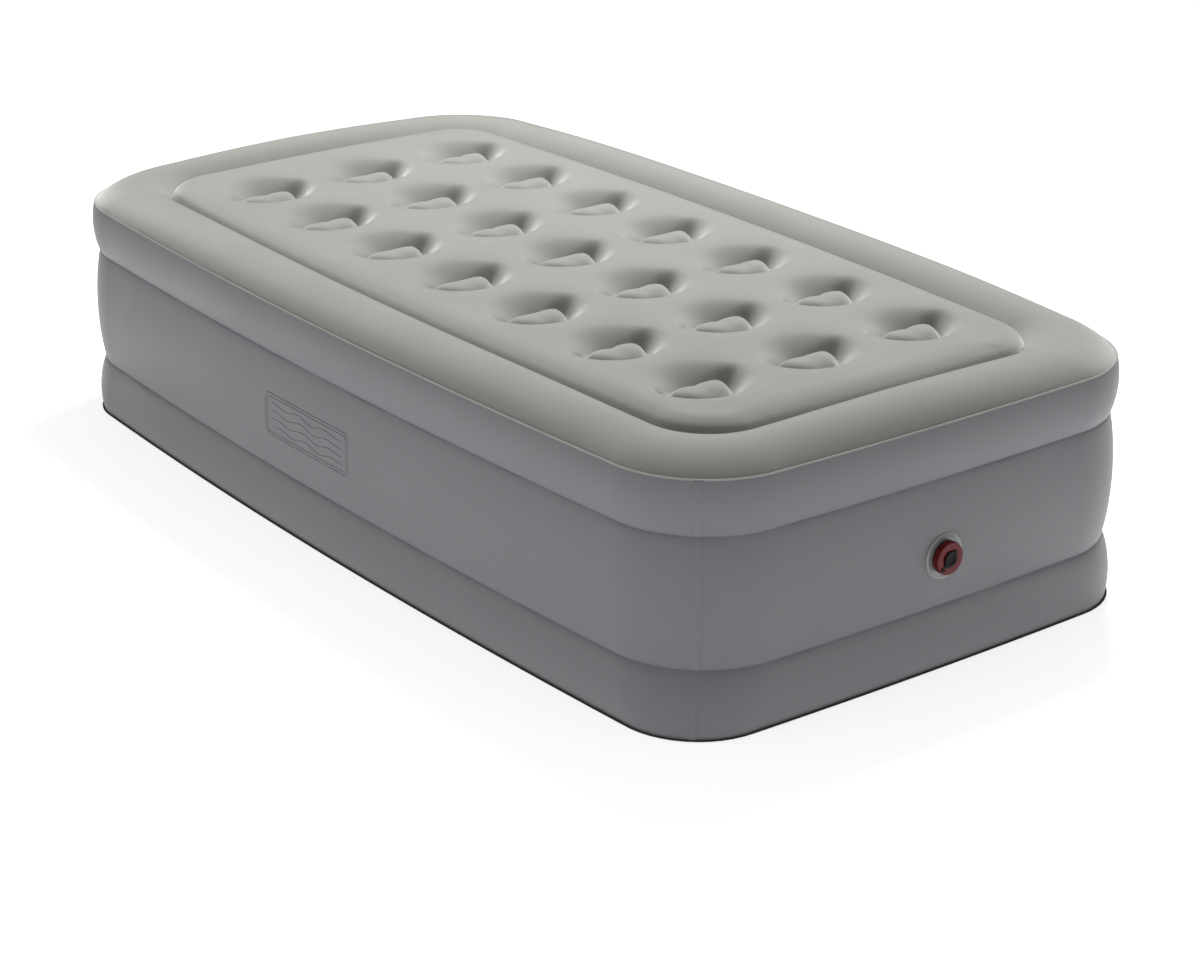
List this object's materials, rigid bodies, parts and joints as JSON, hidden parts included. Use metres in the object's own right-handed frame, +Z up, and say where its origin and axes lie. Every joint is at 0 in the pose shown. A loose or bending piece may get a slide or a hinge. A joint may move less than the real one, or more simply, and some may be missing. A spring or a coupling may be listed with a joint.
{
  "type": "air mattress",
  "caption": "Raised single air mattress with a flocked pitted top, a raised edge bolster, a three-band side wall and a screw-in inflation valve.",
  "frame": {"origin": "on the floor under the middle of the bounding box", "axes": "+X is the foot end with the valve, along the length; -Y is the left long side; +Z up"},
  "size_m": [1.9975, 1.0826, 0.4702],
  "materials": {
    "flocked_top": "matt flocked velour on vinyl, warm grey",
    "grey_vinyl": "semi-matt calendered vinyl sheet, mid grey",
    "dark_base": "dark embossed vinyl sheet",
    "inner_vinyl": "plain natural vinyl sheet",
    "clear_vinyl": "clear soft vinyl moulding",
    "red_plastic": "satin moulded red plastic",
    "black_plastic": "soft black moulded plastic",
    "seal_rubber": "matt black rubber"
  },
  "bodies": {
    "mattress": {"top_sheet": "flocked_top", "side_wall": "grey_vinyl", "bottom_sheet": "dark_base", "edge_beam": "inner_vinyl", "lower_tie_ring": "inner_vinyl", "upper_tie_ring": "inner_vinyl", "coil_1_1": "inner_vinyl", "coil_1_2": "inner_vinyl", "coil_1_3": "inner_vinyl", "coil_1_4": "inner_vinyl", "coil_1_5": "inner_vinyl", "coil_1_6": "inner_vinyl", "coil_1_7": "inner_vinyl", "coil_2_1": "inner_vinyl", "coil_2_2": "inner_vinyl", "coil_2_3": "inner_vinyl", "coil_2_4": "inner_vinyl", "coil_2_5": "inner_vinyl", "coil_2_6": "inner_vinyl", "coil_2_7": "inner_vinyl", "coil_3_1": "inner_vinyl", "coil_3_2": "inner_vinyl", "coil_3_3": "inner_vinyl", "coil_3_4": "inner_vinyl", "coil_3_5": "inner_vinyl", "coil_3_6": "inner_vinyl", "coil_3_7": "inner_vinyl", "valve_flange": "clear_vinyl"},
    "seal": {"valve_seal": "seal_rubber"},
    "collar": {"valve_collar": "red_plastic", "cap_tether": "black_plastic"},
    "cap": {"valve_cap": "black_plastic"},
    "flap": {"check_flap": "seal_rubber"}
  },
  "joints": [
    {"name": "collar_draw", "type": "slide", "parent": "mattress", "child": "seal", "axis": [1, 0, 0], "range_m": [0, 0.008]},
    {"name": "collar_turn", "type": "hinge", "parent": "seal", "child": "collar", "pos_m": [0.98065, 0.012, 0.20575], "axis": [1, 0, 0], "range_deg": [0, 720]},
    {"name": "cap_swing", "type": "hinge", "parent": "collar", "child": "cap", "pos_m": [0.99765, -0.00037, 0.19338], "axis": [0, 0.7071, -0.7071], "range_deg": [0, 120]},
    {"name": "flap_swing", "type": "hinge", "parent": "collar", "child": "flap", "pos_m": [0.9718, 0.012, 0.22125], "axis": [0, 1, 0], "range_deg": [0, 60]}
  ],
  "couplings": [
    {"joint": "collar_turn", "follows": "collar_draw", "rad_per_m": 1570.8}
  ]
}
